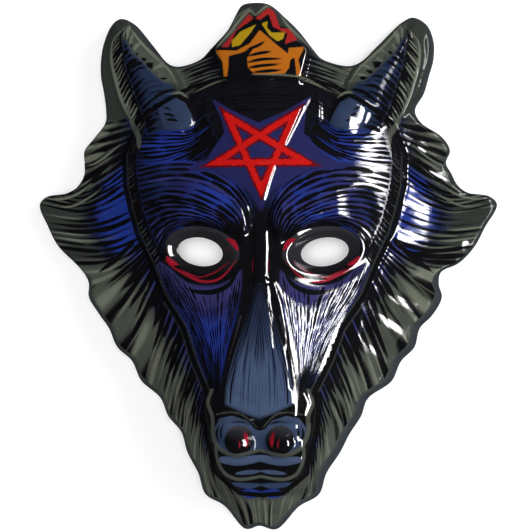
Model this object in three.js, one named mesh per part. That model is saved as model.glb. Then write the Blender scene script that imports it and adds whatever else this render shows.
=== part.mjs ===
// Goat mask with horns, a torch on its crown and a beard of fur tufts.
// It is one sheet of printed plastic, vacuum formed over a carved mould and trimmed round its edge.
// It lies face up on the edge of its ears, horns and cheeks: +X across the face, +Y from the chin to
// the horns, +Z out of the face. The origin is under the middle of the mask, on the table. Millimetres.

import * as THREE from "three";

// Driving dimensions
const SHEET = 0.8; // thickness of the plastic
const CELL = 4.9; // side of one facet of the formed face
const EDGE_STEPS = 3; // facets between two neighbouring points of the trimmed edge
const EYE_STEPS = 20; // facets round an eye hole
const HALF_WIDE = 130; // from the middle to the tip of an ear
const HALF_TALL = 148; // from the middle to the flame's tip, and to the chin

// The trimmed edge, in stretches from the flame down to the chin. Each point is its height up the
// mask and how far it lies out from the middle, on the right and on the left: the hand-cut mould is
// not quite even.
const FLAME_EDGE = [
  [147.9, -3.7, 3.7], [146.7, 2.9, 12.5], [140.4, 10.4, 16.4], [132.6, 18.4, 20.7], [122.6, 26.2, 30.3],
  [116.8, 31.4, 36.2],
];
const HORN_EDGE = [
  [112.8, 47, 49.7], [115.2, 53.7, 56.8], [125, 63.8, 65.2], [137.8, 76.8, 76.3], [140.5, 82.9, 83],
  [136.5, 90.3, 88], [127.4, 94, 92.6], [117.2, 94, 94.6], [107.5, 91.4, 94.6], [97.8, 88.6, 92.8],
  [88.1, 83.5, 91.6],
];
const EAR_EDGE = [
  [81.3, 86.9, 91.6], [72.8, 99.1, 98], [65.4, 103.4, 104], [58.6, 101.1, 103.7], [52.3, 104.2, 103.7],
  [45.5, 107.9, 107.4], [41.5, 113.6, 114], [39.3, 126, 126.1], [34.9, 130, 130], [21.6, 123, 125],
  [11.3, 117.5, 119.5], [1.7, 108.5, 109.7], [-3.5, 98.3, 104.8],
];
const FUR_EDGE = [
  [-10.3, 97, 102], [-17.7, 98.8, 102], [-27.9, 93.4, 95.9], [-35.3, 86.3, 90.5], [-46.1, 83.2, 85.6],
  [-54.1, 75.6, 77.2], [-65.4, 70.3, 71.7], [-75, 57.1, 60.2], [-85.1, 53.2, 55.8], [-94.6, 47.1, 47.7],
  [-105.3, 41.6, 44.2], [-117, 34.1, 37.9],
];
const CHIN_EDGE = [[-128.7, 30, 34.3], [-135.3, 19, 22.8], [-147.9, 6.5, 10.8], [-146, -3, 3]];

// How far the side wall leans in from the trimmed edge up to the face, on each stretch
const WALL_LEAN = [
  [FLAME_EDGE, 3], [HORN_EDGE, 2.8], [EAR_EDGE, 1.8], [FUR_EDGE, 6], [CHIN_EDGE, 4.5],
];
const LEAN_SPREAD = 8; // edge points on each side that share their inward direction

// The trimmed edge stands on the table at the sides, and arches over it at the flame and at the chin
const ARCH = { flame: 20, chin: 26, halfWide: 85 };

// The sheet wraps round the head: highest down the middle, falling to the ears and to both ends, and
// lower again round the jaw
const CROWN = { height: 48, fall: 0.317, round: 25, droop: 5, low: 10, lowFrom: -40, lowTo: -80 };

// The groove that parts the raised face from the ears and the fur
const FACE_EDGE = [
  [0, 104], [22, 104], [40, 100], [58, 90], [72, 80], [79, 62.5], [78.5, 45], [75, 30],
  [71.5, 18], [64, 2.5], [56, -17], [44, -34.5], [38, -51.5], [29.5, -70], [32, -79],
  [30, -95], [26.5, -104], [25, -115], [12, -126], [0, -127],
];
const FACE_RISE = 11.5; // the face stands this far over the fur
const FACE_ROUND = 42; // over this distance in from the groove
const FACE_STEP = 3; // of it at the groove itself
const GROOVE_HALF = 2; // half the width of the groove's own step
// Outside the groove the sheet drops away a little, but not beside the horns
const SKIRT = { drop: 2.4, reach: 7, fullBelow: 70, noneAbove: 95 };

const BROW = { line: [[18, 27], [34, 36], [56, 33]], reach: 14, rise: 5, fullAt: 40, noneAt: 66 };
const EYE = { out: 34.8, up: 7.9, halfLong: 13.1, halfTall: 7.9, tilt: 9, lip: 3.2 };
const SOCKET = { halfLong: 27, halfTall: 22, depth: 11 };
const EYELID = { at: 1.55, spread: 0.26, rise: 2.2 }; // a low ring round the hole, as shares of its size

// The muzzle: its height down the middle, how wide its flat back is, and how its flanks fall away
const MUZZLE_TOP = [
  [24, 52], [8, 57], [-20, 62], [-82, 73], [-89, 67], [-98, 68], [-108, 65], [-117, 58],
  [-122, 57], [-130, 51], [-140, 46], [-152, 43],
];
const MUZZLE_HALF = [[24, 4], [0, 8], [-40, 14], [-82, 20], [-100, 24], [-114, 22], [-130, 11], [-152, 8]];
const FLANK_SLOPE = [
  [24, 0.95], [-8, 0.85], [-28, 0.56], [-52, 0.56], [-66, 0.76], [-92, 1.2], [-152, 1.3],
];
const FLANK_OUTSIDE = [[0, 0.9], [-35, 0.9], [-62, 0.3], [-152, 0.3]]; // extra slope beyond the groove
const FLANK_ROUND = 2.5;
const BLEND = 2.2; // how softly the muzzle runs into the face
const NOSTRIL = { out: 10.9, up: -98.5, radius: 8, rise: 4.5 };
const WING = { out: 16, up: -97, halfWide: 15, halfTall: 13, rise: 3.5 };

// A horn rises from a broad root to a narrow tip: out, up, half width, height over the sheet, how fast
// its crest rounds off, and how much of its side slope it has
const HORN = [
  [50, 83, 13, 4.5, 0.002, 1.2], [62, 100, 18, 10, 0.03, 1], [73, 116, 14, 9.5, 0.045, 1],
  [81, 131, 9, 6, 0.04, 1],
];
const HORN_SIDE = { outer: 1, inner: 0.6, corner: 1.5 };
const TORCH = { edge: [[0, 146], [10, 141], [25, 124], [20, 104], [0, 106]], rise: 3, soft: 4 };
const EAR_RIDGE = { line: [[92, 53], [104, 46], [126, 36]], reach: 11, rise: 3 };
const EAR_HOLLOW = { out: 96, up: 26, halfLong: 26, halfTall: 15, depth: 3.5 };

// A fur tuft is a ridge from the groove out to a point of the edge: its root, then its tip
const TUFTS = [
  [[66, -2], [99, -14]], [[58, -14], [90, -32]], [[52, -24], [83, -46]], [[44, -36], [70, -66]],
  [[39, -52], [54, -85]], [[33, -68], [43, -107]], [[30, -88], [32, -129]], [[16, -126], [10, -148]],
];
const TUFT = { root: 4, tip: 11, rise: 2 };

const clamp01 = (t) => Math.min(Math.max(t, 0), 1);
const mix = (a, b, t) => a + (b - a) * t;
const ease = (from, to, t) => {
  const s = clamp01((t - from) / (to - from));
  return s * s * (3 - 2 * s);
};
const bell = (dx, dy, rx, ry) => Math.max(0, 1 - (dx / rx) ** 2 - (dy / ry) ** 2) ** 2;
const softMax = (a, b, k) => 0.5 * (a + b + Math.hypot(a - b, k));
const softMin = (a, b, k) => 0.5 * (a + b - Math.hypot(a - b, k));
const softRise = (t, k) => 0.5 * (t + Math.hypot(t, k));

// A height read off a list of stations down the mask
function profile(stations, y) {
  if (y >= stations[0][0]) return stations[0][1];
  for (let i = 1; i < stations.length; i++) {
    const [above, high] = stations[i - 1];
    const [below, low] = stations[i];
    if (y >= below) return mix(high, low, ease(0, 1, (above - y) / (above - below)));
  }
  return stations[stations.length - 1][1];
}

// Distance from a point to a stretch, and how far along it the nearest point lies
function toStretch([ax, ay], [bx, by], x, y) {
  const [dx, dy] = [bx - ax, by - ay];
  const along = clamp01(((x - ax) * dx + (y - ay) * dy) / (dx * dx + dy * dy));
  return [Math.hypot(x - ax - dx * along, y - ay - dy * along), along];
}

function toLine(line, x, y) {
  let nearest = Infinity;
  for (let i = 1; i < line.length; i++)
    nearest = Math.min(nearest, toStretch(line[i - 1], line[i], x, y)[0]);
  return nearest;
}

// Distance to a closed ring of points, positive inside it
function insideRing(ring, x, y) {
  let nearest = Infinity;
  let inside = false;
  for (let i = 0; i < ring.length; i++) {
    const [a, b] = [ring[i], ring[(i + 1) % ring.length]];
    nearest = Math.min(nearest, toStretch(a, b, x, y)[0]);
    const crosses = a[1] > y !== b[1] > y;
    if (crosses && x < a[0] + ((y - a[1]) * (b[0] - a[0])) / (b[1] - a[1])) inside = !inside;
  }
  return inside ? nearest : -nearest;
}

// A half and its mirror image as one ring, clockwise from the top middle
const bothHalves = (half) => [...half, ...half.slice(1, -1).reverse().map(([x, y]) => [-x, y])];

const faceRing = bothHalves(FACE_EDGE);
const torchRing = bothHalves(TORCH.edge);

// How far a point lies out from the middle of an eye, along and across the tilted hole
function eyeAxes(out, y) {
  const tilt = THREE.MathUtils.degToRad(EYE.tilt);
  const [dx, dy] = [out - EYE.out, y - EYE.up];
  return [dx * Math.cos(tilt) + dy * Math.sin(tilt), dy * Math.cos(tilt) - dx * Math.sin(tilt)];
}

function hornRise(out, y) {
  let rise = 0;
  for (let i = 1; i < HORN.length; i++) {
    const [distance, along] = toStretch(HORN[i - 1], HORN[i], out, y);
    const [a, b] = [HORN[i - 1], HORN[i]];
    const [half, high, bend] = [2, 3, 4].map((k) => mix(a[k], b[k], along));
    const turned = (out - a[0]) * (b[1] - a[1]) - (y - a[1]) * (b[0] - a[0]);
    const steep = (turned > 0 ? HORN_SIDE.outer : HORN_SIDE.inner) * mix(a[5], b[5], ease(0, 1, along));
    rise = Math.max(rise, softMin(steep * (half - distance), high - bend * distance ** 2, HORN_SIDE.corner));
  }
  return rise;
}

// Height of the formed face over the table
function relief(x, y) {
  const out = Math.abs(x);
  let z = CROWN.height - CROWN.fall * (Math.hypot(out, CROWN.round) - CROWN.round);
  z -= CROWN.droop * (y / HALF_TALL) ** 2 + CROWN.low * (1 - ease(CROWN.lowTo, CROWN.lowFrom, y));
  const inFace = insideRing(faceRing, x, y);
  z += FACE_STEP * ease(-GROOVE_HALF, GROOVE_HALF, inFace);
  z += (FACE_RISE - FACE_STEP) * (1 - (1 - clamp01(inFace / FACE_ROUND)) ** 2);
  const outside = Math.min(0, inFace);
  z -= SKIRT.drop * (1 - Math.exp(outside / SKIRT.reach)) * (1 - ease(SKIRT.fullBelow, SKIRT.noneAbove, y));
  z += hornRise(out, y);
  z += TORCH.rise * ease(-TORCH.soft, 0, insideRing(torchRing, x, y));
  z += EAR_RIDGE.rise * Math.max(0, 1 - toLine(EAR_RIDGE.line, out, y) / EAR_RIDGE.reach);
  z -= EAR_HOLLOW.depth * bell(out - EAR_HOLLOW.out, y - EAR_HOLLOW.up, EAR_HOLLOW.halfLong, EAR_HOLLOW.halfTall);
  for (const [root, tip] of TUFTS) {
    const [distance, along] = toStretch(root, tip, out, y);
    const reach = mix(TUFT.root, TUFT.tip, along);
    z += TUFT.rise * ease(0, 0.5, along) * Math.max(0, 1 - (distance / reach) ** 2) ** 2;
  }
  const flank = profile(FLANK_SLOPE, y) * softRise(out - profile(MUZZLE_HALF, y), FLANK_ROUND);
  z = softMax(z, profile(MUZZLE_TOP, y) - flank + profile(FLANK_OUTSIDE, y) * outside, BLEND);
  const brow = BROW.rise * (1 - ease(BROW.fullAt, BROW.noneAt, out));
  z += brow * Math.max(0, 1 - (toLine(BROW.line, out, y) / BROW.reach) ** 2);
  const [along, across] = eyeAxes(out, y);
  z -= SOCKET.depth * bell(along, across, SOCKET.halfLong, SOCKET.halfTall);
  const ring = Math.hypot(along / EYE.halfLong, across / EYE.halfTall);
  z += EYELID.rise * Math.exp(-(((ring - EYELID.at) / EYELID.spread) ** 2));
  z += WING.rise * bell(out - WING.out, y - WING.up, WING.halfWide, WING.halfTall);
  const ball = Math.hypot(out - NOSTRIL.out, y - NOSTRIL.up) / NOSTRIL.radius;
  return z + NOSTRIL.rise * Math.sqrt(Math.max(0, 1 - ball * ball));
}

// Height of the trimmed edge over the table
function edgeHeight(x, y) {
  return (y > 0 ? ARCH.flame : ARCH.chin) * (1 - ease(0, ARCH.halfWide, Math.abs(x)));
}

// The trimmed edge as a smooth closed curve through its points, with each point's lean
function trimmedEdge() {
  const stations = WALL_LEAN.flatMap(([stretch, lean]) => stretch.map((station) => [...station, lean]));
  const right = stations.map(([up, out, , lean]) => new THREE.Vector3(out, up, lean));
  const left = stations.slice(1, -1).map(([up, , out, lean]) => new THREE.Vector3(-out, up, lean));
  const points = [...right, ...left.reverse()];
  const curve = new THREE.CatmullRomCurve3(points, true, "centripetal");
  return curve.getPoints(points.length * EDGE_STEPS).slice(0, -1);
}

// The wall's foot, which is the trimmed edge, and its top, where it meets the face
function wallRings() {
  const edge = trimmedEdge();
  const count = edge.length;
  const square = edge.map((_, i) => {
    const [before, after] = [edge[(i + count - 1) % count], edge[(i + 1) % count]];
    return new THREE.Vector2(after.y - before.y, before.x - after.x).normalize();
  });
  const foot = edge.map((p) => [p.x, p.y]);
  const top = edge.map((p, i) => {
    const inward = new THREE.Vector2();
    for (let k = -LEAN_SPREAD; k <= LEAN_SPREAD; k++) inward.add(square[(i + k + count) % count]);
    inward.normalize().multiplyScalar(p.z);
    return [p.x + inward.x, p.y + inward.y];
  });
  return { foot, top };
}

// An anticlockwise ring round an eye hole, some way out from the cut
function eyeRing(side, beyond) {
  const tilt = THREE.MathUtils.degToRad(EYE.tilt);
  return Array.from({ length: EYE_STEPS }, (_, i) => {
    const turn = side * (i / EYE_STEPS) * 2 * Math.PI;
    const along = (EYE.halfLong + beyond) * Math.cos(turn);
    const across = (EYE.halfTall + beyond) * Math.sin(turn);
    const out = EYE.out + along * Math.cos(tilt) - across * Math.sin(tilt);
    return [side * out, EYE.up + along * Math.sin(tilt) + across * Math.cos(tilt)];
  });
}

// The square facets that lie well inside the wall's top and clear of the eyes
function faceCells(top, eyes) {
  const clear = CELL / 2;
  const columns = Math.ceil(HALF_WIDE / CELL);
  const rows = Math.ceil(HALF_TALL / CELL);
  const stands = (i, j) => {
    const [x, y] = [i * CELL, j * CELL];
    return insideRing(top, x, y) > clear && eyes.every((eye) => insideRing(eye, x, y) < -clear);
  };
  const cells = new Set();
  for (let i = -columns; i < columns; i++)
    for (let j = -rows; j < rows; j++)
      if (stands(i, j) && stands(i + 1, j) && stands(i, j + 1) && stands(i + 1, j + 1)) cells.add(`${i},${j}`);
  // Two cells that touch at one corner only would pinch the sheet, so one of them goes
  for (let i = -columns; i <= columns; i++)
    for (let j = -rows; j <= rows; j++) {
      const has = (di, dj) => cells.has(`${i + di},${j + dj}`);
      if (has(0, 0) && has(-1, -1) && !has(-1, 0) && !has(0, -1)) cells.delete(`${i},${j}`);
      if (has(-1, 0) && has(0, -1) && !has(0, 0) && !has(-1, -1)) cells.delete(`${i - 1},${j}`);
    }
  return [...cells].map((cell) => cell.split(",").map(Number));
}

// Chains directed edges, each written "from,to", into closed loops
function edgeLoops(edges) {
  const next = new Map([...edges].map((edge) => edge.split(",").map(Number)));
  const loops = [];
  while (next.size) {
    const loop = [];
    let at = next.keys().next().value;
    while (next.has(at)) {
      loop.push(at);
      const on = next.get(at);
      next.delete(at);
      at = on;
    }
    loops.push(loop);
  }
  return loops;
}

// The formed face as points with heights and triangles that face up, and its open edges
function formedFace() {
  const points = [];
  const triangles = [];
  const add = (x, y, z = relief(x, y)) => points.push(new THREE.Vector3(x, y, z)) - 1;
  const facing = (a, b, c) => {
    const [p, q, r] = [points[a], points[b], points[c]];
    const turn = (q.x - p.x) * (r.y - p.y) - (q.y - p.y) * (r.x - p.x);
    triangles.push(turn > 0 ? [a, b, c] : [a, c, b]);
  };
  const quad = (a, b, c, d) => {
    const short = points[a].distanceTo(points[c]) < points[b].distanceTo(points[d]);
    for (const t of short ? [[a, b, c], [a, c, d]] : [[a, b, d], [b, c, d]]) facing(...t);
  };
  const band = (outer, inner) =>
    outer.forEach((a, i) => {
      const next = (i + 1) % outer.length;
      quad(a, outer[next], inner[next], inner[i]);
    });
  const fill = (outer, inner) => {
    const flat = (ring) => ring.map((i) => new THREE.Vector2(points[i].x, points[i].y));
    const both = [...outer, ...inner];
    for (const t of THREE.ShapeUtils.triangulateShape(flat(outer), [flat(inner)]))
      facing(...t.map((k) => both[k]));
  };

  const walls = wallRings();
  const foot = walls.foot.map(([x, y]) => add(x, y, edgeHeight(x, y)));
  const top = walls.top.map(([x, y]) => add(x, y));
  band(foot, top);

  const sides = [-1, 1];
  const lips = sides.map((side) => eyeRing(side, EYE.lip));
  const cells = faceCells(walls.top, lips);
  const corners = new Map();
  const corner = (i, j) => {
    const key = `${i},${j}`;
    if (!corners.has(key)) corners.set(key, add(i * CELL, j * CELL));
    return corners.get(key);
  };
  const open = new Set();
  for (const [i, j] of cells) {
    const ring = [corner(i, j), corner(i + 1, j), corner(i + 1, j + 1), corner(i, j + 1)];
    quad(...ring);
    ring.forEach((a, k) => {
      const b = ring[(k + 1) % 4];
      if (!open.delete(`${b},${a}`)) open.add(`${a},${b}`);
    });
  }
  const loops = edgeLoops(open);
  loops.sort((a, b) => b.length - a.length);
  fill(top, loops[0]);

  const cuts = sides.map((side, k) => {
    const lip = lips[k].map(([x, y]) => add(x, y));
    const cut = eyeRing(side, 0).map(([x, y]) => add(x, y));
    const around = loops.slice(1).find((loop) => Math.sign(points[loop[0]].x) === side);
    fill(around, lip);
    band(lip, cut);
    return cut;
  });
  return { points, triangles, foot, cuts };
}

// The sheet itself: the formed face, the same face one thickness behind it, and the cut edges
function formedSheet() {
  const { points, triangles, foot, cuts } = formedFace();
  const faces = triangles.map(([a, b, c]) => {
    const across = new THREE.Vector3().subVectors(points[b], points[a]);
    return across.cross(new THREE.Vector3().subVectors(points[c], points[a]));
  });
  const square = points.map(() => new THREE.Vector3());
  triangles.forEach((triangle, k) => triangle.forEach((i) => square[i].add(faces[k])));
  foot.forEach((i) => square[i].setZ(0));
  square.forEach((direction) => direction.normalize());
  const back = points.map((p, i) => p.clone().addScaledVector(square[i], -SHEET));
  const shift = points.length;
  const solid = triangles.flatMap(([a, b, c]) => [a, b, c, c + shift, b + shift, a + shift]);
  for (const ring of [foot, ...cuts])
    ring.forEach((a, i) => {
      const b = ring[(i + 1) % ring.length];
      solid.push(a, b, b + shift, a, b + shift, a + shift);
    });
  return new THREE.BufferGeometry().setFromPoints([...points, ...back]).setIndex(solid);
}

const printedPlastic = new THREE.MeshStandardMaterial({ color: 0x262f55, roughness: 0.22, metalness: 0 });
const shell = new THREE.Mesh(formedSheet(), printedPlastic);
shell.name = "mask_shell";

const mask = new THREE.Group();
mask.add(shell);

export default mask;
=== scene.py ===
# Horned goat mask of glossy printed plastic, vacuum formed in one sheet, lying face up on a pale table.
# Sizes on the mask are in millimetres, and the finished meshes are in metres.
import math

import bmesh
import bpy
import numpy as np
from mathutils import Matrix, Vector
from mathutils.kdtree import KDTree


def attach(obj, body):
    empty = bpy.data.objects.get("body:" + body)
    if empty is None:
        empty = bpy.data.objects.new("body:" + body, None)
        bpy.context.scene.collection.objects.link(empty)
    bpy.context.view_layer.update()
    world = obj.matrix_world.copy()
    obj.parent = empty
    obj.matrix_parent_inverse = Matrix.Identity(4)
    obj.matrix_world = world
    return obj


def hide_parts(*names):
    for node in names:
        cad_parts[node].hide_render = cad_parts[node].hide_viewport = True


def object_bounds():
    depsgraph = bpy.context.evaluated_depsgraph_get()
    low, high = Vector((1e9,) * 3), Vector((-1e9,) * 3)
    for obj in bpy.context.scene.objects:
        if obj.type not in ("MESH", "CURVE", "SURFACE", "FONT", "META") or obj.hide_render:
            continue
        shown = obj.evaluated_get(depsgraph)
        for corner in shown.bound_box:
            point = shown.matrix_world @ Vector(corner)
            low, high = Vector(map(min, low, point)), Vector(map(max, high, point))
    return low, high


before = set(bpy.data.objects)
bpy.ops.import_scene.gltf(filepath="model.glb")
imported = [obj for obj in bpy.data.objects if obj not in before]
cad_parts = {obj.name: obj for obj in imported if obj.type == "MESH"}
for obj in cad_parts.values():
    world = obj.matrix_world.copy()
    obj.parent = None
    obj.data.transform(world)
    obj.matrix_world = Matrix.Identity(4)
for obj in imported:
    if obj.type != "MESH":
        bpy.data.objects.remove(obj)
cad_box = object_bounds()
MM = 0.001

# The carved mould that the plastic is formed on. Its face wraps round the head, with the muzzle
# standing out down the middle, horns and ears at the sides and fur tufts round the edge. Heights
# are over the table, x is across the face from the middle and y up the face.
HALF_TALL = 148
CROWN = dict(height=48, fall=0.317, round=25, droop=5, low=10, low_from=-40, low_to=-80)
FACE_EDGE = [
    (0, 104), (22, 104), (40, 100), (58, 90), (72, 80), (79, 62.5), (78.5, 45), (75, 30),
    (71.5, 18), (64, 2.5), (56, -17), (44, -34.5), (38, -51.5), (29.5, -70), (32, -79),
    (30, -95), (26.5, -104), (25, -115), (12, -126), (0, -127),
]
FACE_DOME = dict(rise=8.5, reach=42)
SKIRT = dict(drop=2.4, reach=7, full_below=70, none_above=95)
GROOVE = dict(deep=1.1, half=1.6)
BROW = dict(line=[(18, 27), (34, 36), (56, 33)], reach=14, rise=5, full_at=40, none_at=66)
EYE = dict(out=34.8, up=7.9, half_long=13.1, half_tall=7.9, tilt=math.radians(9))
SOCKET = dict(half_long=27, half_tall=22, height=-11)
EYELID = dict(at=1.55, spread=0.26, rise=2.2)
MUZZLE_TOP = [
    (24, 52), (8, 57), (-20, 62), (-82, 73), (-89, 67), (-98, 68), (-108, 65), (-117, 58),
    (-122, 57), (-130, 51), (-140, 46), (-152, 43),
]
MUZZLE_HALF = [(24, 4), (0, 8), (-40, 14), (-82, 20), (-100, 24), (-114, 22), (-130, 11), (-152, 8)]
FLANK_SLOPE = [(24, 0.95), (-8, 0.85), (-28, 0.56), (-52, 0.56), (-66, 0.76), (-92, 1.2), (-152, 1.3)]
FLANK_OUTSIDE = [(0, 0.9), (-35, 0.9), (-62, 0.3), (-152, 0.3)]
FLANK_ROUND, BLEND = 2.5, 2.2
NOSTRIL = dict(out=10.9, up=-98.5, radius=8, rise=4.5)
WING = dict(out=16, up=-97, half_long=15, half_tall=13, height=3.5)
# Stations up the horn: out, up, half width, height, how fast the crest falls, steepness of the side
HORN = [(50, 83, 13, 4.5, 0.002, 1.2), (62, 100, 18, 10, 0.03, 1), (73, 116, 14, 9.5, 0.045, 1),
        (81, 131, 9, 6, 0.04, 1)]
HORN_SIDE = dict(outer=1.0, inner=0.6, corner=1.5)
HORN_SPINE = [(81, 132), (86, 126), (87, 118), (85.5, 109), (81.5, 95), (77.5, 86), (73, 78), (70, 69)]
HORN_BAND = [(77, 136), (73, 130), (67, 123), (60, 116.5), (52.5, 109), (47, 99)]
HORN_PLATE = [(58.5, 87.5), (58, 92.5), (53.5, 94), (48.5, 94), (43, 91), (40, 85.5), (37.5, 79.5),
              (40.5, 76.5), (47.5, 75.5), (55, 76)]
PLATE_LIFT = dict(inner=1.4, outer=0.2, outer_at=59, fall=0.12, soft=0.8)
TORCH_EDGE = [(0, 146), (10, 141), (25, 124), (20, 104), (0, 106)]
STAR = [(0.5, 38), (22, 88.3), (-30.7, 55.7), (30, 56.2), (-22.2, 86.8)]
STAR_BAND = 3.1
NOSE_PLATE = [(0, -9), (4, -20.5), (9, -32.5), (12.5, -43.5), (16, -53.5), (18, -65), (18.5, -75.5),
              (0, -83.5)]
MUZZLE_LINE = [(26.5, -68.5), (29, -75.5), (26.5, -83), (26.5, -91.5), (24, -98.5), (19.5, -102.5),
               (13.5, -104.5), (7.5, -103.5), (0, -101.5)]
LIP_LINE = [(24.5, -100), (23.5, -108), (20, -115), (14, -118), (8, -118), (0, -116.5)]
EAR_RIDGE = dict(line=[(92, 53), (104, 46), (126, 36)], reach=11, rise=3)
EAR_HOLLOW = dict(out=96, up=26, half_long=26, half_tall=15, height=-3.5)
TUFTS = [
    ((66, -2), (99, -14)), ((58, -14), (90, -32)), ((52, -24), (83, -46)), ((44, -36), (70, -66)),
    ((39, -52), (54, -85)), ((33, -68), (43, -107)), ((30, -88), (32, -129)), ((16, -126), (10, -148)),
]
TUFT = dict(root=4, tip=11, rise=2.0, full_at=0.5)
# Small ridges on the mould, each a line with its half width and its height
RIDGES = [
    (HORN_SPINE[:6], 3.2, 1.3), (HORN_BAND, 4, 1.0), (MUZZLE_LINE, 2.4, 0.9), (LIP_LINE, 2.4, 0.9),
    ([(22, -107), (12, -108), (0, -106)], 3.4, 1.3), ([(14, -115), (0, -113.5)], 2, 0.8),
    ([(86, 66), (92, 61), (100, 57)], 5, 1.4), ([(88, 50), (97, 45), (108, 41)], 5, 1.2),
    ([(75, 12), (92, 8), (110, 10)], 6, 1.2), ([(12, 34), (9, 24), (10, 15)], 4, 1.5),
    ([(31, 95), (31.5, 88), (31.5, 81)], 2.2, 0.75),
]
STAR_RIDGES = [([(21.6, 88), (17, 77), (13, 68)], 1.9, 0.75), ([(6.5, 55), (3.8, 46), (1.2, 37)], 1.9, 0.85)]
# Raised places: the height, and how far inside the outline the slope to it starts and ends
FACE_LIFT, TORCH_LIFT, NOSE_PLATE_LIFT = (3, -2, 2), (3, -4, 0), (0.6, -1, 1)
STAR_LIFT, BAND_LIFT = (0.35, -3.1, -1.9), (0.45, -1.1, -0.1)
# Low steps down the sides of the nose
NOSE_STEPS = [
    ([(0, 20), (3.2, 20), (3.8, 10), (3.3, 1), (3.6, -7), (5, -16), (5.8, -28), (7.5, -46), (0, -50)],
     (1.2, -1.3, 1.3)),
    ([(0, -5), (8, -9), (12, -21), (15, -38), (16.5, -58), (16.5, -68), (0, -76)], (0.9, -1.3, 1.3)),
]


def ease(low, high, value):
    t = np.clip((value - low) / (high - low), 0, 1)
    return t * t * (3 - 2 * t)


def lift(depth, rise, low, high):
    return rise * ease(low, high, depth)


def hump(distance, reach):
    return np.maximum(0, 1 - (distance / reach) ** 2) ** 2


def mound(x, y, height, half_long, half_tall, out=0, up=0):
    """An oval mound, or a hollow where its height is below 0."""
    return height * np.maximum(0, 1 - ((x - out) / half_long) ** 2 - ((y - up) / half_tall) ** 2) ** 2


def profile(stations, y):
    """A height or width read off stations that run down the mask."""
    rows = np.array(stations[::-1], float)
    k = np.clip(np.searchsorted(rows[:, 0], y) - 1, 0, len(rows) - 2)
    return rows[k, 1] + (rows[k + 1, 1] - rows[k, 1]) * ease(rows[k, 0], rows[k + 1, 0], y)


def to_stretch(a, b, x, y):
    """Distance from each point to the stretch from a to b, and how far along it the nearest place is."""
    dx, dy = b[0] - a[0], b[1] - a[1]
    along = np.clip(((x - a[0]) * dx + (y - a[1]) * dy) / (dx * dx + dy * dy), 0, 1)
    return np.hypot(x - a[0] - dx * along, y - a[1] - dy * along), along


def to_line(line, x, y):
    return np.min([to_stretch(a, b, x, y)[0] for a, b in zip(line, line[1:])], axis=0)


def inside(ring, x, y):
    """Distance to a closed ring of points, positive inside it."""
    nearest = np.full(x.shape, np.inf)
    within = np.zeros(x.shape, bool)
    for a, b in zip(ring, [*ring[1:], ring[0]]):
        nearest = np.minimum(nearest, to_stretch(a, b, x, y)[0])
        if a[1] != b[1]:
            crosses = (a[1] > y) != (b[1] > y)
            within ^= crosses & (x < a[0] + (y - a[1]) * (b[0] - a[0]) / (b[1] - a[1]))
    return np.where(within, nearest, -nearest)


def close_to(points, reach, x, y):
    """Which places lie in the points' own box, widened by the reach."""
    low, high = np.min(points, axis=0) - reach, np.max(points, axis=0) + reach
    return (x > low[0]) & (x < high[0]) & (y > low[1]) & (y < high[1])


def mirrored(half):
    return [*half, *((-x, y) for x, y in half[-2:0:-1])]


def eye_axes(out, y):
    dx, dy = out - EYE["out"], y - EYE["up"]
    c, s = math.cos(EYE["tilt"]), math.sin(EYE["tilt"])
    return dx * c + dy * s, dy * c - dx * s


def star_band(x, y):
    """Distance inside the star and inside the five crossing bands that draw it."""
    bands = []
    for a, b in ((0, 1), (1, 2), (2, 3), (3, 4), (4, 0)):
        (ax, ay), (bx, by) = STAR[a], STAR[b]
        way = np.hypot(bx - ax, by - ay)
        middle = np.mean(STAR, axis=0)
        side = ((bx - ax) * (middle[1] - ay) - (by - ay) * (middle[0] - ax)) / way
        bands.append(((bx - ax) * (y - ay) - (by - ay) * (x - ax)) / way * np.sign(side))
    bands = np.array(bands)
    within = np.sort(bands, axis=0)[1]
    return within, np.max(np.minimum(bands, STAR_BAND - bands), axis=0)


def horn_rise(out, y):
    """Height of the horn, which has a low crest and a steeper side on the outside."""
    rise = np.zeros(out.shape)
    for a, b in zip(HORN, HORN[1:]):
        distance, along = to_stretch(a, b, out, y)
        half, high, fall = (start + (end - start) * along for start, end in zip(a[2:5], b[2:5]))
        turned = (out - a[0]) * (b[1] - a[1]) - (y - a[1]) * (b[0] - a[0])
        side = np.where(turned > 0, HORN_SIDE["outer"], HORN_SIDE["inner"]) * (half - distance)
        side *= a[5] + (b[5] - a[5]) * ease(0, 1, along)
        crest = high - fall * distance ** 2
        rise = np.maximum(rise, (side + crest - np.hypot(side - crest, HORN_SIDE["corner"])) / 2)
    return rise


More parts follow.
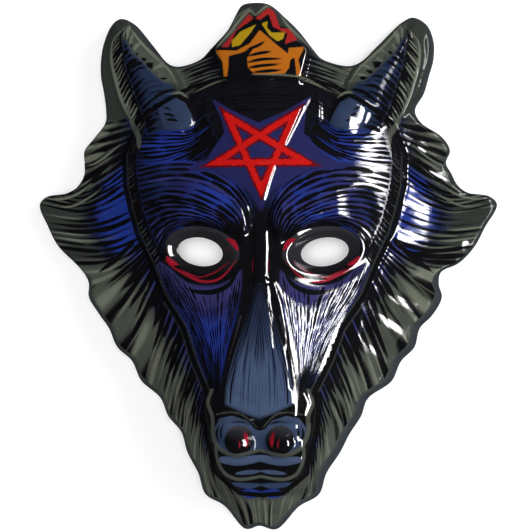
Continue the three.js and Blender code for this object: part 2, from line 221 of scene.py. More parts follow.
def relief(x, y):
    """Height of the formed face over the table."""
    out = np.abs(x)
    z = CROWN["height"] - CROWN["fall"] * (np.hypot(out, CROWN["round"]) - CROWN["round"])
    z -= CROWN["droop"] * (y / HALF_TALL) ** 2 + CROWN["low"] * ease(CROWN["low_from"], CROWN["low_to"], y)
    in_face = inside(mirrored(FACE_EDGE), x, y)
    z += lift(in_face, *FACE_LIFT)
    z += FACE_DOME["rise"] * (1 - (1 - np.clip(in_face / FACE_DOME["reach"], 0, 1)) ** 2)
    outside = np.minimum(0, in_face)
    below_horns = ease(SKIRT["none_above"], SKIRT["full_below"], y)
    z -= SKIRT["drop"] * (1 - np.exp(outside / SKIRT["reach"])) * below_horns
    z -= GROOVE["deep"] * np.exp(-(in_face / GROOVE["half"]) ** 2) * below_horns
    z += horn_rise(out, y)
    plate = PLATE_LIFT["outer"] + PLATE_LIFT["fall"] * (PLATE_LIFT["outer_at"] - out)
    plate = np.clip(plate, PLATE_LIFT["outer"], PLATE_LIFT["inner"])
    z += lift(inside(HORN_PLATE, out, y), plate, -PLATE_LIFT["soft"], PLATE_LIFT["soft"])
    z += lift(inside(mirrored(TORCH_EDGE), x, y), *TORCH_LIFT)
    z += EAR_RIDGE["rise"] * np.maximum(0, 1 - to_line(EAR_RIDGE["line"], out, y) / EAR_RIDGE["reach"])
    z += mound(out, y, **EAR_HOLLOW)
    for root, tip in TUFTS:
        distance, along = to_stretch(root, tip, out, y)
        reach = TUFT["root"] + (TUFT["tip"] - TUFT["root"]) * along
        z += TUFT["rise"] * ease(0, TUFT["full_at"], along) * hump(distance, reach)
    flank = out - profile(MUZZLE_HALF, y)
    flank = (flank + np.hypot(flank, FLANK_ROUND)) / 2
    muzzle = profile(MUZZLE_TOP, y) - profile(FLANK_SLOPE, y) * flank + profile(FLANK_OUTSIDE, y) * outside
    z = (z + muzzle + np.hypot(z - muzzle, BLEND)) / 2
    brow = 1 - (to_line(BROW["line"], out, y) / BROW["reach"]) ** 2
    z += BROW["rise"] * (1 - ease(BROW["full_at"], BROW["none_at"], out)) * np.maximum(0, brow)
    along, across = eye_axes(out, y)
    z += mound(along, across, **SOCKET)
    ring = np.hypot(along / EYE["half_long"], across / EYE["half_tall"])
    z += EYELID["rise"] * np.exp(-((ring - EYELID["at"]) / EYELID["spread"]) ** 2)
    for ridges, across in ((RIDGES, out), (STAR_RIDGES, x)):
        for line, half, rise in ridges:
            box = close_to(line, half, across, y)
            z[box] += rise * hump(to_line(line, across[box], y[box]), half)
    in_star, in_band = star_band(x, y)
    z += lift(in_star, *STAR_LIFT) + lift(np.minimum(in_star, in_band), *BAND_LIFT)
    for ring, height in ((NOSE_PLATE, NOSE_PLATE_LIFT), *NOSE_STEPS):
        z += lift(inside(mirrored(ring), x, y), *height)
    z += mound(out, y, **WING)
    ball = np.hypot(out - NOSTRIL["out"], y - NOSTRIL["up"]) / NOSTRIL["radius"]
    return z + NOSTRIL["rise"] * np.sqrt(np.maximum(0, 1 - ball * ball))


# The sheet of plastic, 0.8 mm thick, drawn down over the mould, trimmed round its edge and cut out
# at both eyes. Its front is one fine mesh of trimmed edge, side wall and face, and its back is the
# same in coarser cells, one thickness behind.
SHEET = 0.8
FINE = dict(cell=0.88, wall_steps=9)
COARSE = dict(cell=2.2, wall_steps=4)
EDGE_STEP = 1.3
RIM_GAP = 0.6
EYE_STEPS, EYE_STEPS_OUT = 72, (0.8, 1.7, 2.6)
BACK_MARK = 4
ARCH = dict(flame=20, chin=26, half_wide=85)
LEAN_SPREAD = 26
# Up the mask, then out from the middle on the right and on the left
FLAME_EDGE = [
    (147.9, -3.7, 3.7), (146.7, 2.9, 12.5), (140.4, 10.4, 16.4), (132.6, 18.4, 20.7),
    (122.6, 26.2, 30.3), (116.8, 31.4, 36.2),
]
HORN_EDGE = [
    (112.8, 47, 49.7), (115.2, 53.7, 56.8), (125, 63.8, 65.2), (137.8, 76.8, 76.3),
    (140.5, 82.9, 83), (136.5, 90.3, 88), (127.4, 94, 92.6), (117.2, 94, 94.6),
    (107.5, 91.4, 94.6), (97.8, 88.6, 92.8), (88.1, 83.5, 91.6),
]
EAR_EDGE = [
    (81.3, 86.9, 91.6), (72.8, 99.1, 98), (65.4, 103.4, 104), (58.6, 101.1, 103.7),
    (52.3, 104.2, 103.7), (45.5, 107.9, 107.4), (41.5, 113.6, 114), (39.3, 126, 126.1),
    (34.9, 130, 130), (21.6, 123, 125), (11.3, 117.5, 119.5), (1.7, 108.5, 109.7),
    (-3.5, 98.3, 104.8),
]
FUR_EDGE = [
    (-10.3, 97, 102), (-17.7, 98.8, 102), (-27.9, 93.4, 95.9), (-35.3, 86.3, 90.5),
    (-46.1, 83.2, 85.6), (-54.1, 75.6, 77.2), (-65.4, 70.3, 71.7), (-75, 57.1, 60.2),
    (-85.1, 53.2, 55.8), (-94.6, 47.1, 47.7), (-105.3, 41.6, 44.2), (-117, 34.1, 37.9),
]
CHIN_EDGE = [(-128.7, 30, 34.3), (-135.3, 19, 22.8), (-147.9, 6.5, 10.8), (-146, -3, 3)]
# How far the wall leans in from the edge up to the face, on each stretch
WALL_LEAN = [(FLAME_EDGE, 3), (HORN_EDGE, 2.8), (EAR_EDGE, 1.8), (FUR_EDGE, 6), (CHIN_EDGE, 4.5)]


def between(t, start, end, a, b):
    """The place at t on the way from a, where t is start, to b, where it is end."""
    return (end - t) / (end - start) * a + (t - start) / (end - start) * b


def smooth_ring(points, step, bits=40):
    """A closed curve through the points, with a new point about every step."""
    P = np.array(points, float)
    knots = [np.roll(P, k, axis=0) for k in (1, 0, -1, -2)]
    gaps = [np.sqrt(np.linalg.norm((b - a)[:, :2], axis=1)) for a, b in zip(knots, knots[1:])]
    when = np.cumsum([0 * gaps[0], *gaps], axis=0)[:, :, None]
    rows = []
    for s in np.linspace(0, 1, bits, endpoint=False):
        t = when[1] + (when[2] - when[1]) * s
        a, b, c = (between(t, when[k], when[k + 1], knots[k], knots[k + 1]) for k in range(3))
        a, b = between(t, when[0], when[2], a, b), between(t, when[1], when[3], b, c)
        rows.append(between(t, when[1], when[2], a, b))
    fine = np.stack(rows, axis=1).reshape(-1, P.shape[1])
    far = np.cumsum(np.r_[0, np.linalg.norm(np.diff(fine[:, :2], axis=0, append=fine[:1, :2]), axis=1)])
    count = round(far[-1] / step)
    at = np.linspace(0, far[-1], count, endpoint=False)
    closed = np.vstack([fine, fine[:1]])
    return np.stack([np.interp(at, far, column) for column in closed.T], axis=1)


def trimmed_edge():
    """The trimmed edge as points, each with its lean, and the place of the wall's top inside it."""
    rows = [(*station, lean) for stretch, lean in WALL_LEAN for station in stretch]
    right = [(out, up, lean) for up, out, _, lean in rows]
    left = [(-out, up, lean) for up, _, out, lean in rows[-2:0:-1]]
    ring = smooth_ring([*right, *left], EDGE_STEP)
    way = np.roll(ring, -1, axis=0) - np.roll(ring, 1, axis=0)
    inward = np.stack([way[:, 1], -way[:, 0]], axis=1)
    inward /= np.linalg.norm(inward, axis=1, keepdims=True)
    inward = sum(np.roll(inward, k, axis=0) for k in range(-LEAN_SPREAD, LEAN_SPREAD + 1))
    inward /= np.linalg.norm(inward, axis=1, keepdims=True)
    return ring[:, :2], ring[:, :2] + inward * ring[:, 2:]


def edge_height(x, y):
    return np.where(y > 0, ARCH["flame"], ARCH["chin"]) * (1 - ease(0, ARCH["half_wide"], np.abs(x)))


def eye_ring(side, beyond):
    turn = np.linspace(0, 2 * np.pi, EYE_STEPS, endpoint=False)
    along, across = (EYE["half_long"] + beyond) * np.cos(turn), (EYE["half_tall"] + beyond) * np.sin(turn)
    c, s = math.cos(EYE["tilt"]), math.sin(EYE["tilt"])
    out = EYE["out"] + along * c - across * s
    return np.stack([side * out, EYE["up"] + along * s + across * c], axis=1)


foot_ring, top_ring = trimmed_edge()


def begin_ring(sheet, order, climb, points, height):
    """A new ring of edges, whose vertices are numbered round it."""
    verts = [sheet.verts.new((*p, 0)) for p in points]
    for k, v in enumerate(verts):
        v[order], v[climb] = k, height
    return [sheet.edges.new(pair) for pair in zip(verts, [*verts[1:], verts[0]])]


def step_in(sheet, order, edges, points):
    """Extrudes a ring and sets the new one on the points. An extruded vertex keeps its number."""
    made = bmesh.ops.extrude_edge_only(sheet, edges=edges)["geom"]
    for v in made:
        if isinstance(v, bmesh.types.BMVert):
            v.co.xy = points[v[order]]
    return [e for e in made if isinstance(e, bmesh.types.BMEdge) and e.is_boundary]


def places(verts):
    return np.array([v.co.xy for v in verts]).T


def formed_face(sheet, cell, wall_steps):
    """Adds a whole face to the sheet. Returns its vertices, the trimmed edge and the cut eye edges."""
    order = sheet.verts.layers.int["order"]
    climb = sheet.verts.layers.float["climb"]
    already = set(sheet.verts)
    foot = edges = begin_ring(sheet, order, climb, foot_ring, 0)
    for k in range(1, wall_steps + 1):
        turn = math.pi / 2 * k / wall_steps
        edges = step_in(sheet, order, edges, foot_ring + (top_ring - foot_ring) * (1 - math.cos(turn)))
        for v in {v for e in edges for v in e.verts}:
            v[climb] = math.sin(turn)
    loops, cuts = [edges], []
    for side in (-1, 1):
        edges = begin_ring(sheet, order, climb, eye_ring(side, 0), 1)
        cuts.append(edges)
        for beyond in EYE_STEPS_OUT:
            edges = step_in(sheet, order, edges, eye_ring(side, beyond))
        loops.append(edges)

    half = Vector(cad_box[1]) / MM
    across, up = math.ceil(half.x / cell), math.ceil(half.y / cell)
    spread = Matrix.Diagonal((across * cell, up * cell, 1, 1))
    grid = bmesh.ops.create_grid(
        sheet, x_segments=2 * across, y_segments=2 * up, size=1, matrix=spread)["verts"]
    x, y = places(grid)
    keep = inside(top_ring, x, y) > cell * RIM_GAP
    for side in (-1, 1):
        keep &= inside(eye_ring(side, EYE_STEPS_OUT[-1]), x, y) < -cell * RIM_GAP
    bmesh.ops.delete(sheet, geom=[v for v, k in zip(grid, keep) if not k], context="VERTS")
    grid = [v for v, k in zip(grid, keep) if k]
    while pinched := [v for v in grid
                      if not v.link_faces or sum(e.is_boundary for e in v.link_edges) > 2]:
        bmesh.ops.delete(sheet, geom=pinched, context="VERTS")
        grid = [v for v in grid if v.is_valid]
    for v in grid:
        v[climb] = 1
    rim = list({e for v in grid for e in v.link_edges if e.is_boundary})
    bmesh.ops.triangle_fill(sheet, use_beauty=True, edges=[*rim, *(e for loop in loops for e in loop)])
    verts = [v for v in sheet.verts if v not in already]
    x, y = places(verts)
    z = relief(x, y)
    climbs = np.array([v[climb] for v in verts])
    wall = climbs < 1
    number = np.array([v[order] for v in verts])[wall]
    low = edge_height(*foot_ring[number].T)
    z[wall] = low + (relief(*top_ring[number].T) - low) * climbs[wall]
    for v, height in zip(verts, z):
        v.co.z = height
    return verts, foot, cuts


sheet = bmesh.new()
sheet.verts.layers.int.new("order")
sheet.verts.layers.float.new("climb")
_, front_foot, front_cuts = formed_face(sheet, **FINE)
front_faces = set(sheet.faces)
back, back_foot, back_cuts = formed_face(sheet, **COARSE)
bmesh.ops.recalc_face_normals(sheet, faces=[f for f in sheet.faces if f not in front_faces])
sheet.normal_update()
at_foot = {v for e in back_foot for v in e.verts}
climb_layer = sheet.verts.layers.float["climb"]
for v in back:
    way = v.normal * (1 if v.normal.z > 0 else -1)
    if v in at_foot:
        way = (way * Vector((1, 1, 0))).normalized()
    v.co -= way * SHEET
    v[climb_layer] = BACK_MARK
for near, far in zip([front_foot, *front_cuts], [back_foot, *back_cuts]):
    bmesh.ops.bridge_loops(sheet, edges=[*near, *far])
bmesh.ops.recalc_face_normals(sheet, faces=sheet.faces)
bmesh.ops.scale(sheet, vec=(MM, MM, MM), verts=sheet.verts)
shell_mesh = bpy.data.meshes.new("formed_sheet")
sheet.to_mesh(shell_mesh)
sheet.free()
shell_mesh.polygons.foreach_set("use_smooth", [True] * len(shell_mesh.polygons))
shell = bpy.data.objects.new("formed_sheet", shell_mesh)
bpy.context.collection.objects.link(shell)
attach(shell, "root")
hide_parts("mask_shell")


# The print, laid on the plastic before it was formed: black woodcut strokes over blue fur, with
# grey-green ends, slate horns and nose, a red star and a torch. Strokes follow the hair, so each area
# of hair is a few flow lines from root to tip, each point given out from the middle and up the face.
PRINT_STRENGTH = 0.84


def ink(*levels):
    """A colour as seen on the sheet, out of 255, turned into linear light."""
    part = np.array(levels) / 255 * PRINT_STRENGTH
    return np.where(part < 0.04, part / 12.92, ((part + 0.055) / 1.055) ** 2.4)


BLACK, NAVY, DEEP, BLUE = ink(15, 15, 19), ink(27, 34, 74), ink(30, 44, 96), ink(40, 64, 164)
HORN_BLUE = ink(40, 54, 84)
VIOLET, INDIGO, DIM_BLUE, HAIR = ink(66, 64, 126), ink(44, 46, 104), ink(34, 38, 66), ink(58, 60, 122)
SLATE, STEEL, PLATE_TOP, PLATE_LINE = ink(82, 100, 134), ink(58, 74, 106), ink(50, 58, 84), ink(50, 64, 100)
MOSS, PALE, GREY_MOSS, BROWN = ink(88, 93, 84), ink(128, 133, 118), ink(60, 65, 60), ink(54, 46, 50)
WALL, BOWL, CHARCOAL = ink(72, 78, 84), ink(48, 47, 52), ink(30, 31, 36)
RED, DARK_RED, LID_RED = ink(240, 28, 24), ink(112, 14, 30), ink(180, 28, 50)
ORANGE, YELLOW, FLAME = ink(216, 122, 28), ink(206, 168, 26), ink(190, 44, 44)

# Flow lines of the fur round the cheeks and chin, from the ear down to the middle of the beard
FRINGE = [
    [(67, 12.5), (79, 3.5), (92, -2), (110, -3)],
    [(63.5, 6), (72.5, -4.5), (84, -17.5), (96, -32)],
    [(58.5, -3.5), (65.5, -17.5), (72.5, -31.5), (84, -47)],
    [(52.5, -19), (58, -33.5), (64, -48), (71, -67.5)],
    [(43, -33), (49.5, -47), (55, -61), (60, -79.5)],
    [(37, -45.5), (42.5, -59.5), (47.5, -73), (52, -92)],
    [(31.5, -58.5), (37.5, -72.5), (42.5, -86), (45, -105.5)],
    [(31.5, -73), (34.5, -86), (36.5, -100), (37.5, -118.5)],
    [(29.5, -89), (31, -103), (31, -117), (28.5, -131)],
    [(25.5, -102.5), (26, -114), (23.5, -126), (17.5, -139.5)],
    [(20, -113), (17.5, -122), (13.5, -132), (8.5, -149)],
    [(11.5, -121), (9.5, -127.5), (6.5, -134.5), (5, -149)],
    [(1, -120), (1, -127), (1.5, -134), (1.5, -147)],
]
# Slot is one of three sets of strokes, so that neighbours can overlap. Rows is the number of strokes
# side by side and runs the number end to end. Dark and light are how full the strokes are, from root
# to tip, and dark_across adds to the dark ones from the first line to the last. Zone is 1 for an area
# inside the groove round the face and -1 for one outside it.
AREAS = [
    dict(name="forehead", slot=1, rows=12, runs=2, base=[ink(19, 19, 28)], dark=[0.2],
         light=[-0.02, -0.18, -0.06], light_ink=[DIM_BLUE], lines=[
        [(36, 96.5), (24, 101), (11.5, 104), (-0.5, 104.5)],
        [(39.5, 87.5), (27, 93), (12.5, 96), (-0.5, 96.5)],
        [(36, 78), (25, 84.5), (11.5, 87.5), (-0.5, 87.5)],
        [(30.5, 71), (21.5, 76.5), (10.5, 79), (-0.5, 78.5)]]),
    dict(name="crown_hair", slot=0, rows=8, runs=1, base=[MOSS, BLACK, BLACK, BLACK],
         dark=[-0.2, 0.4, 0.5, 0.5], light=[0.3, 0.3, 0.16], light_ink=[MOSS, MOSS, DIM_BLUE], lines=[
        [(51.5, 111.5), (42.5, 114.5), (32.5, 118.5), (27, 122)],
        [(47, 105.5), (38.5, 109), (29.5, 112), (22.5, 113.5)],
        [(45.5, 101), (37.5, 103.5), (28.5, 106.5), (19, 108)],
        [(43.5, 95.5), (35.5, 98.5), (27, 102), (18, 104)]]),
    dict(name="forehead_side", slot=2, rows=10, runs=2, zone=1, base=[NAVY, BLUE, BLUE, DEEP],
         dark=[0.5, 0.25, 0.4, 0.75, 1.3], light=[0.1, 0.14, 0.12, 0], light_ink=[BLUE], lines=[
        [(65, 75), (53.5, 74), (41.5, 74), (32, 80)],
        [(67.5, 66), (54.5, 66.5), (41, 68.5), (30.5, 76)],
        [(70, 57.5), (56, 58.5), (41.5, 63.5), (29, 72)],
        [(71, 49.5), (57, 51.5), (41.5, 57.5), (26, 67.5)]]),
    dict(name="brow", slot=0, rows=12, runs=4.6, zone=1, base=[NAVY, DEEP, INDIGO, BLUE, BLUE, DEEP, BLACK],
         dark=[0.42, 0.32, 0.3, 0.32, 0.36, 0.5, 1.1], dark_across=[0, 0, 0.06, 0.08, 0.1, 0.6],
         light=[0, 0.1, 0.13, 0.12, 0.14, 0], light_ink=[HAIR], lines=[
        [(71, 52), (54.5, 55), (36, 54.5), (19.5, 47.5), (8.5, 36), (5, 22)],
        [(70.5, 44.5), (54, 47.5), (37, 46.5), (21.5, 40), (11.5, 31), (8, 20)],
        [(68.5, 36.5), (54.5, 40.5), (39.5, 38.5), (25, 32.5), (15.5, 26), (11.5, 19)],
        [(67, 29), (55.5, 33), (41.5, 33), (29.5, 29.5), (21.5, 25), (17, 19.5)],
        [(64.5, 19), (57, 25), (46, 28), (34, 26.5), (25, 23), (19.5, 18)],
        [(60.5, 7.5), (57, 15.5), (50.5, 22.5), (39.5, 25.5), (29.5, 24), (21.5, 17.5)]]),
    dict(name="cheek", slot=2, rows=19, runs=4.2, zone=1,
         base=[VIOLET, VIOLET, INDIGO, BLUE, BLUE, BLUE, BLACK],
         dark=[0.04, 0.18, 0.26, 0.26, 0.3, 0.5, 1.2], dark_across=[0.42, 0.28, 0.08, 0, 0.05, 0.4],
         light=[0.12, 0.15, 0.17, 0.15, 0], light_ink=[VIOLET, VIOLET, BLUE, BLUE], lines=[
        [(57, 0), (51.5, -13.5), (43, -27), (35, -43.5), (27, -67.5)],
        [(51.5, -3.5), (45, -16), (38, -29.5), (31.5, -44), (25.5, -67.5)],
        [(40.5, -11.5), (36, -21), (32, -33), (28.5, -45.5), (24.5, -67.5)],
        [(27, -13.5), (26.5, -21.5), (26, -33), (24.5, -45.5), (23, -67.5)],
        [(16.5, -9.5), (18, -19), (19.5, -31), (20.5, -44), (21, -67.5)],
        [(10, -3.5), (11.5, -15), (14.5, -28.5), (17.5, -44), (19.5, -67.5)]]),
    dict(name="nose", slot=1, rows=10, runs=1.5, base=[BLACK], dark=[-0.4, -0.4, -0.1, 0.25, 0.4, 0.1],
         light=[-0.2, 0.06, 0.2, 0.14, 0.1, 0], light_ink=[BROWN], lines=[
        [(11, 6), (11, -13.5), (14, -28.5), (18.5, -45.5), (21.5, -63), (22.5, -76)],
        [(7, 9), (7, -13.5), (9.5, -31), (14, -47.5), (17.5, -64.5), (19, -77.5)],
        [(3.5, 10), (3.5, -13.5), (4.5, -32.5), (7.5, -49), (9.5, -65.5), (11, -80.5)],
        [(0, 11), (0, -13.5), (0, -32.5), (0, -49), (0, -65.5), (0, -84)]]),
    dict(name="nose_plate", slot=1, rows=9, runs=1.3, base=[PLATE_TOP, PLATE_TOP, SLATE, SLATE, SLATE],
         dark=[0.8, 0.3, 0, -0.3, -0.5], dark_across=[0.75, 0.15, 0, 0], light=[0.1, 0.2, 0.22, 0.16, 0],
         light_ink=[PLATE_LINE], lines=[
        [(1.5, -10), (8.3, -32), (14.5, -51.5), (17.8, -66), (18.4, -76)],
        [(0.8, -10), (4.3, -32), (7.8, -51.5), (9.3, -67), (9.5, -80.2)],
        [(-0.5, -10), (-0.5, -32), (-0.5, -51.5), (-0.5, -68), (-0.5, -84.2)]]),
    dict(name="ear_flap", slot=0, rows=7, runs=1.1, zone=-1, base=[NAVY, GREY_MOSS, MOSS, GREY_MOSS],
         dark=[0.6, 0.6, 0.45, 0.25], light=[0.08, 0.1, 0.14, 0.14],
         light_ink=[DIM_BLUE, MOSS, PALE, PALE], lines=[
        [(76.5, 81), (83, 80), (90, 79), (97, 79)],
        [(76, 74.5), (85.5, 71), (94, 69.5), (103, 67)],
        [(77.5, 68), (86.5, 63.5), (95, 59), (103.5, 56)],
        [(78, 60.5), (86.5, 55.5), (95.5, 50), (104, 45)],
        [(78.5, 52.5), (88.5, 46.5), (99, 41.5), (111, 41)]]),
    dict(name="ear", slot=1, rows=13, runs=1.7, zone=-1,
         base=[BLUE, BLUE, BLUE, NAVY, GREY_MOSS, GREY_MOSS, GREY_MOSS],
         dark=[0.2, 0.28, 0.32, 0.5, 0.3, 0.15, 0.05], dark_across=[0.35, 0.12, -0.05, 0, 0.1, 0.5],
         light=[0.12, 0.14, 0.1, 0.1, 0.1, 0.06], light_ink=[BLUE, BLUE, MOSS, PALE, PALE], lines=[
        [(79, 54), (90.5, 46), (102.5, 40), (116, 40.5)], [(78.5, 46), (92, 38), (107, 33.5), (129, 38)],
        [(76, 35.5), (91.5, 29), (106, 26.5), (127, 29)], [(73.5, 26), (89, 20), (104.5, 18), (124, 20)],
        [(70, 17), (83, 11), (97.5, 9), (119, 11.5)], [(66.5, 9), (79, 4.5), (91, 1), (110, -1)]]),
    dict(name="horn_core", slot=1, rows=17, runs=1.7, base=[NAVY, HORN_BLUE, HORN_BLUE, HORN_BLUE],
         dark=[0.8, 0.4, 0.15, 0.05, -0.12], light=[-0.1, 0, 0.04], light_ink=[STEEL], lines=[
        [(80, 126.5), (78.5, 127.5), (76, 126)], [(79.5, 119), (74.5, 122.5), (69.5, 120.5)],
        [(78.5, 110.5), (71, 115.5), (63, 114.5)], [(76, 102.5), (68, 109), (58, 108.5)],
        [(73.5, 94), (64, 102.5), (53, 102.5)], [(71, 87), (61, 94.5), (49, 96.5)],
        [(68, 80), (60, 85), (50, 86.5)], [(65.5, 73.5), (58, 75.5), (50, 75.5)]]),
    dict(name="horn_band", slot=2, rows=8, runs=0.7, base=[GREY_MOSS, MOSS, MOSS],
         dark=[-0.6, -0.4, 0.05, 0.6], light=[0.1, 0.2, 0.14], light_ink=[PALE], lines=[
        [(79, 138), (79.5, 134.5), (79.5, 130.5)], [(74, 134), (76, 130), (76.5, 125)],
        [(67, 125.5), (70.5, 123), (73.5, 119.5)], [(59, 118.5), (63, 117), (67.5, 114)],
        [(51, 111), (56, 110), (61.5, 107.5)], [(45, 101), (50.5, 102.5), (56, 103)]]),
    dict(name="horn_comb", slot=0, rows=21, runs=0.45, base=[MOSS, MOSS, MOSS], dark=[0, 0.45, 0.8, 1.3],
         light=[0.16, 0.16, 0], light_ink=[PALE], lines=[
        [(83, 128), (81.5, 131), (79, 133)], [(86.5, 120.5), (84, 124), (80.5, 127.5)],
        [(86.5, 111.5), (83, 116), (79.5, 120.5)], [(84.5, 103.5), (81.5, 108), (78.5, 112.5)],
        [(81.5, 94.5), (79, 99), (75.5, 103.5)], [(77.5, 86.5), (75.5, 91), (72.5, 94.5)],
        [(75, 80), (72.5, 84), (70, 88)], [(71.5, 73.5), (69.5, 77), (67, 80.5)]]),
    dict(name="groove_comb", slot=1, rows=30, runs=0.45, reach=0, base=[BLACK], dark=[1.2],
         light=[0.2, 0.16, 0], light_ink=[GREY_MOSS, GREY_MOSS, VIOLET], lines=[
        [(73, 70), (70.5, 72.5), (68.5, 76)], [(76, 62), (73, 64), (71, 67.5)],
        [(77.5, 52), (74.5, 54), (72, 57.5)], [(76.5, 41), (73.5, 43), (71, 46.5)],
        [(74, 29), (71, 31), (68.5, 34.5)], [(70.5, 19), (68, 21), (65.5, 24)],
        [(65.5, 9), (63, 11), (61, 14)], [(60.5, 0), (58.5, 2), (57, 4.5)]]),
    dict(name="fringe", slot=2, rows=42, runs=1.2, zone=-1, clump=0.3, clump_rows=3.6, base=[MOSS],
         dark=[1.4, 1.3, 0.95, 0.6, 0.3, 0.1, -0.2, -0.4],
         dark_across=[0, 0, 0, 0, 0, -0.15, -0.4, -0.6, -0.7, -0.4],
         light=[0.1, 0.16, 0.12, 0.1, 0.08, 0.06], light_ink=[HAIR, HAIR, MOSS, PALE, PALE, PALE],
         lines=FRINGE),
    dict(name="locks", slot=0, rows=14, runs=0.8, zone=-1, over="fringe",
         dark=[-0.6, -0.4, -0.1, 0.1, 0.22, 0.34], dark_across=[0, 0, 0, 0, -0.05, -0.12],
         light=[-0.6, -0.3, 0.06, 0.1, 0.1, 0.06], lines=FRINGE),
]
FLOW_REACH, OVERSHOOT = 12, 0.3
LINE_REACH, FAR_OFF = 4, -99.0


def fill(points, steps=8):
    """A smooth curve through the points, with some steps between each two."""
    P = np.concatenate([[2 * points[0] - points[1]], points, [2 * points[-1] - points[-2]]])
    a, b, c, d = P[:-3], P[1:-2], P[2:-1], P[3:]
    rows = [b + s * (c - a + s * (2 * a - 5 * b + 4 * c - d + s * (3 * b - a - 3 * c + d))) / 2
            for s in np.linspace(0, 1, steps, endpoint=False)]
    return np.concatenate([np.stack(rows, axis=1).reshape(-1, *points.shape[1:]), points[-1:]])


def nearest(points, x, y):
    """The number of the point nearest to each place, and its distance."""
    tree = KDTree(len(points))
    for k, point in enumerate(points):
        tree.insert((*point, 0), k)
    tree.balance()
    found = [tree.find((*place, 0)) for place in zip(x, y)]
    return np.array([number for _, number, _ in found]), np.array([far for _, _, far in found])


def flow(lines, out, y):
    """How far each place is from root to tip and across the flow lines, and how deep inside them."""
    spread = fill(fill(np.array(lines, float)).swapaxes(0, 1)).swapaxes(0, 1)
    rows, runs = spread.shape[:2]
    along = np.gradient(spread, axis=1) * (runs - 1)
    across = np.gradient(spread, axis=0) * (rows - 1)
    points = spread.reshape(-1, 2)
    near = close_to(points, FLOW_REACH, out, y)
    row, run = np.divmod(nearest(points, out[near], y[near])[0], runs)
    dx, dy = (np.stack([out, y], axis=1)[near] - spread[row, run]).T
    (ax, ay), (cx, cy) = along[row, run].T, across[row, run].T
    area = ax * cy - ay * cx
    area = np.where(np.abs(area) < 1, np.copysign(1, area), area)
    u = run / (runs - 1) + np.clip((dx * cy - dy * cx) / area, -OVERSHOOT, OVERSHOOT)
    v = row / (rows - 1) + np.clip((ax * dy - ay * dx) / area, -OVERSHOOT, OVERSHOOT)
    length, width = np.hypot(ax, ay), np.abs(area) / np.hypot(ax, ay)
    depth = np.min([u * length, (1 - u) * length, v * width, (1 - v) * width], axis=0)
    cell = np.hypot(length / (runs - 1), np.hypot(cx, cy) / (rows - 1))
    away = np.hypot(dx, dy)
    return near, u, v, np.where(away > cell, np.minimum(depth, cell - away), depth)


def brush(line, half, x, y, taper=0.7):
    """Distance inside one brush line, which is widest half way along."""
    line = fill(np.array(line, float), steps=5)
    best = np.full(x.shape, FAR_OFF)
    box = close_to(line, LINE_REACH, x, y)
    for k, (a, b) in enumerate(zip(line, line[1:])):
        distance, along = to_stretch(a, b, x[box], y[box])
        t = (k + along) / (len(line) - 1)
        best[box] = np.maximum(best[box], half * (1 - taper * (2 * t - 1) ** 2) - distance)
    return best


def patch(ring, x, y):
    """Distance inside a closed ring, worked out only where it is close."""
    depth = np.full(x.shape, FAR_OFF)
    box = close_to(ring, LINE_REACH, x, y)
    depth[box] = inside(ring, x[box], y[box])
    return depth


def read_off(values, at):
    """The value or colour at each place along a row of them, which runs from 0 to 1."""
    values = np.array(values, float)
    stops = np.linspace(0, 1, len(values))
    if values.ndim == 1:
        return np.interp(at, stops, values)
    return np.stack([np.interp(at, stops, column) for column in values.T], axis=1)


def blend(a, b, amount):
    return a + (b - a) * (amount[:, None] if a.ndim == 2 else amount)


count = len(shell_mesh.vertices)
spots = np.zeros(count * 3)
shell_mesh.vertices.foreach_get("co", spots)
x, y, z = spots.reshape(-1, 3).T / MM
out = np.abs(x)
climb = np.zeros(count)
shell_mesh.attributes["climb"].data.foreach_get("value", climb)
on_front = climb < BACK_MARK / 2
in_face = inside(mirrored(FACE_EDGE), x, y)

# Fullness at which no stroke shows, depth at which no shape does, and depths at an area's edge
NO_STROKE, NO_SHAPE = -2.0, -9.0
FEATHER, FADE, OWN_DEPTH, LIGHT_INK_EDGE = 1.2, 1.5, -2, (-3, -1)
ZONE_REACH, ZONE_EDGE = 2.5, 0.8
# An area in the middle has the same strokes on both sides, and every other area has its own
MIDDLE_AREAS = ("nose", "nose_plate", "forehead")
AREA_SEED, LEFT_SEED = 100, 2000
CLUMP = dict(fullness=0.12, rows=5, bend=2, bends=5, drift=0.02)
base = np.tile(GREY_MOSS, (count, 1))
light_ink = np.tile(PALE, (count, 1))
strokes = np.full((3, count, 3), NO_STROKE)
fine = np.full((3, count), NO_STROKE)
base[in_face > 0] = BLACK


def rub_out(slot, where, amount):
    """Fades one set of strokes away."""
    strokes[slot, where, 2] = blend(strokes[slot, where, 2], NO_STROKE, amount)
    fine[slot, where] = blend(fine[slot, where], NO_STROKE, amount)


